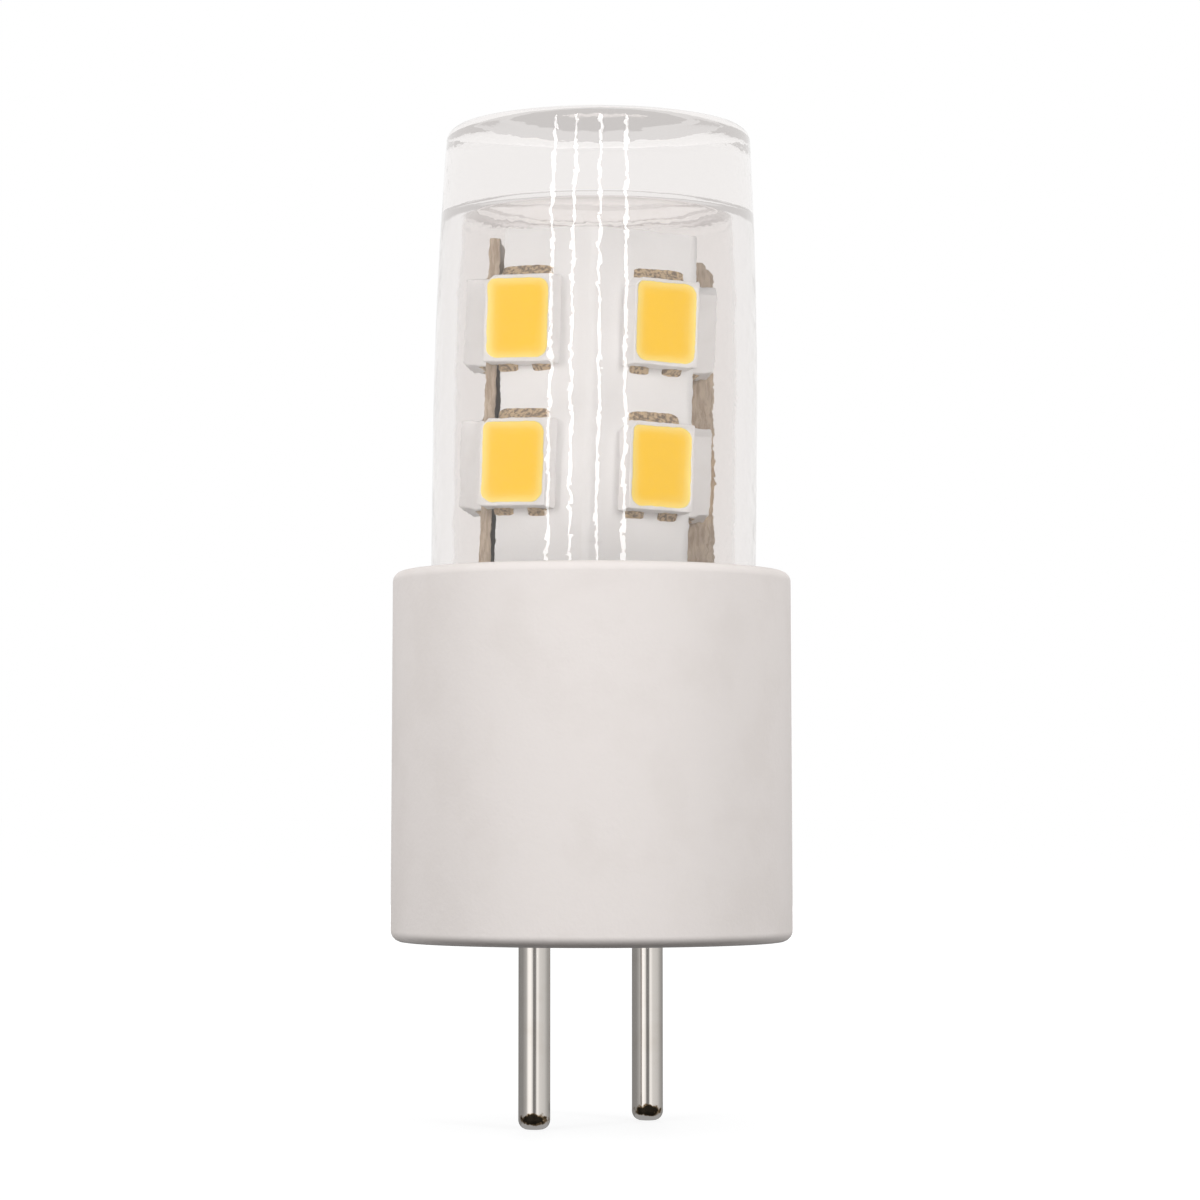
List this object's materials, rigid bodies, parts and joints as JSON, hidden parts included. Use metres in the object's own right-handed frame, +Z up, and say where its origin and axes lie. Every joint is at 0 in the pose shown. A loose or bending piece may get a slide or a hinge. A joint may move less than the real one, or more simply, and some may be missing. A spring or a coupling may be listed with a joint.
{
  "type": "bi-pin led bulb",
  "caption": "Small capsule bulb: a white ceramic base on contact pins carries a clear dished cover over a folded board of yellow light-emitting packages; it plugs into a low-voltage holder.",
  "frame": {"origin": "centre of the base's underside, midway between the contact pins", "axes": "+Z up through the base to the dished top of the cover; X through the two pins, which point down along -Z"},
  "size_m": [0.016, 0.016, 0.0397],
  "materials": {
    "ceramic_white": "matte, softly rounded edges",
    "clear_plastic": "clear moulded, polished",
    "pin_metal": "polished plating",
    "white_board": "white solder mask",
    "brown_board": "bare brown laminate",
    "led_white": "white moulded",
    "led_phosphor": "warm yellow gel",
    "solder": "dull, flux stained",
    "driver_green": "green solder mask",
    "can_metal": "bare drawn can",
    "ferrite": "dark sintered",
    "copper_wire": "enamelled wire",
    "black_epoxy": "moulded",
    "tan_ceramic": "sintered"
  },
  "bodies": {
    "root": {"back_board": "brown_board", "back_board_solder_joints": "solder", "base_shell": "ceramic_white", "bleed_resistor": "black_epoxy", "bridge_rectifier": "black_epoxy", "clear_cover": "clear_plastic", "column_solder_joints": "solder", "contact_pin_left": "pin_metal", "contact_pin_right": "pin_metal", "driver_board": "driver_green", "driver_chip": "black_epoxy", "feed_wire_negative": "solder", "feed_wire_positive": "solder", "filter_capacitor": "tan_ceramic", "inductor_core": "ferrite", "inductor_winding": "copper_wire", "led_housing_front_left_lower": "led_white", "led_housing_front_left_upper": "led_white", "led_housing_front_right_lower": "led_white", "led_housing_front_right_upper": "led_white", "led_housing_rear_left_lower": "led_white", "led_housing_rear_left_upper": "led_white", "led_housing_rear_right_lower": "led_white", "led_housing_rear_right_upper": "led_white", "led_housing_side_left_lower": "led_white", "led_housing_side_left_upper": "led_white", "led_housing_side_right_lower": "led_white", "led_housing_side_right_upper": "led_white", "led_panel": "white_board", "led_phosphor_front_left_lower": "led_phosphor", "led_phosphor_front_left_upper": "led_phosphor", "led_phosphor_front_right_lower": "led_phosphor", "led_phosphor_front_right_upper": "led_phosphor", "led_phosphor_rear_left_lower": "led_phosphor", "led_phosphor_rear_left_upper": "led_phosphor", "led_phosphor_rear_right_lower": "led_phosphor", "led_phosphor_rear_right_upper": "led_phosphor", "led_phosphor_side_left_lower": "led_phosphor", "led_phosphor_side_left_upper": "led_phosphor", "led_phosphor_side_right_lower": "led_phosphor", "led_phosphor_side_right_upper": "led_phosphor", "mount_disc": "white_board", "panel_solder_joints": "solder", "pin_solder_left": "solder", "pin_solder_right": "solder", "sense_resistor": "black_epoxy", "side_strip": "white_board", "side_strip_solder_joints": "solder", "smoothing_capacitor": "can_metal"}
  },
  "joints": []
}
